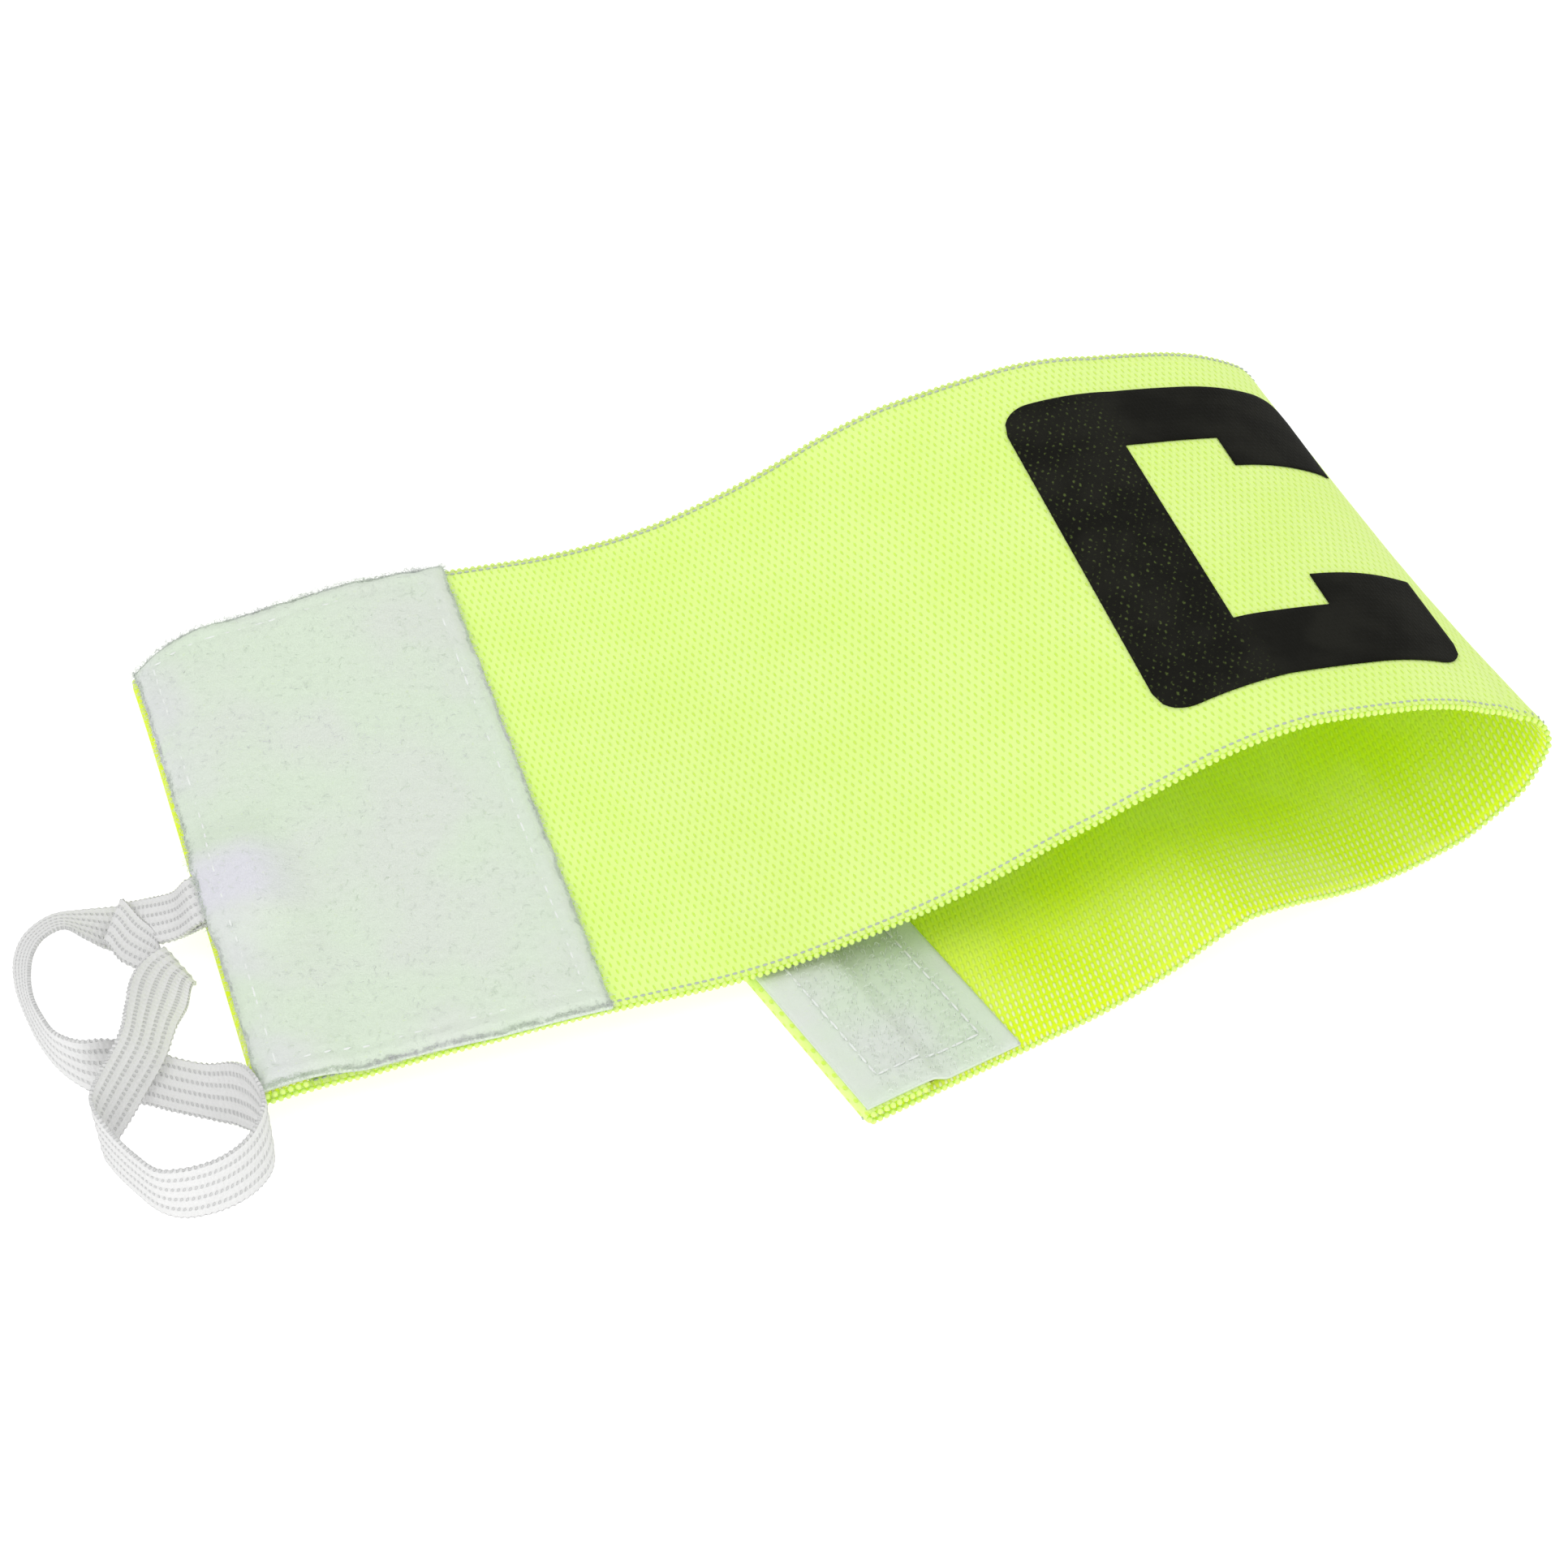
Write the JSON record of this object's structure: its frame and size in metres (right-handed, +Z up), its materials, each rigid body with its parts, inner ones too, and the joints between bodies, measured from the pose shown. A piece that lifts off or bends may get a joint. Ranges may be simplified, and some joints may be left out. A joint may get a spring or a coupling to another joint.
{
  "type": "captain armband",
  "caption": "Wide elastic captain armband with a printed block letter, hook-and-loop end patches and a narrow elastic finger loop, lying folded over once.",
  "frame": {"origin": "on the table, under the middle of the box of the band, patches and print", "axes": "+Z up from the table, +X towards the fold, +Y towards the edge that lies far from the picture's camera"},
  "size_m": [0.2346, 0.1688, 0.0362],
  "materials": {
    "elastic": "yellow green woven elastic with small pits",
    "pile": "white brushed loop pile",
    "hooks": "white hooked tape",
    "print": "matt black print",
    "tape": "white ribbed elastic"
  },
  "bodies": {
    "root": {"band": "elastic", "loop_patch": "pile", "hook_patch": "hooks", "letter_print": "print", "tape_loop": "tape"}
  },
  "joints": []
}
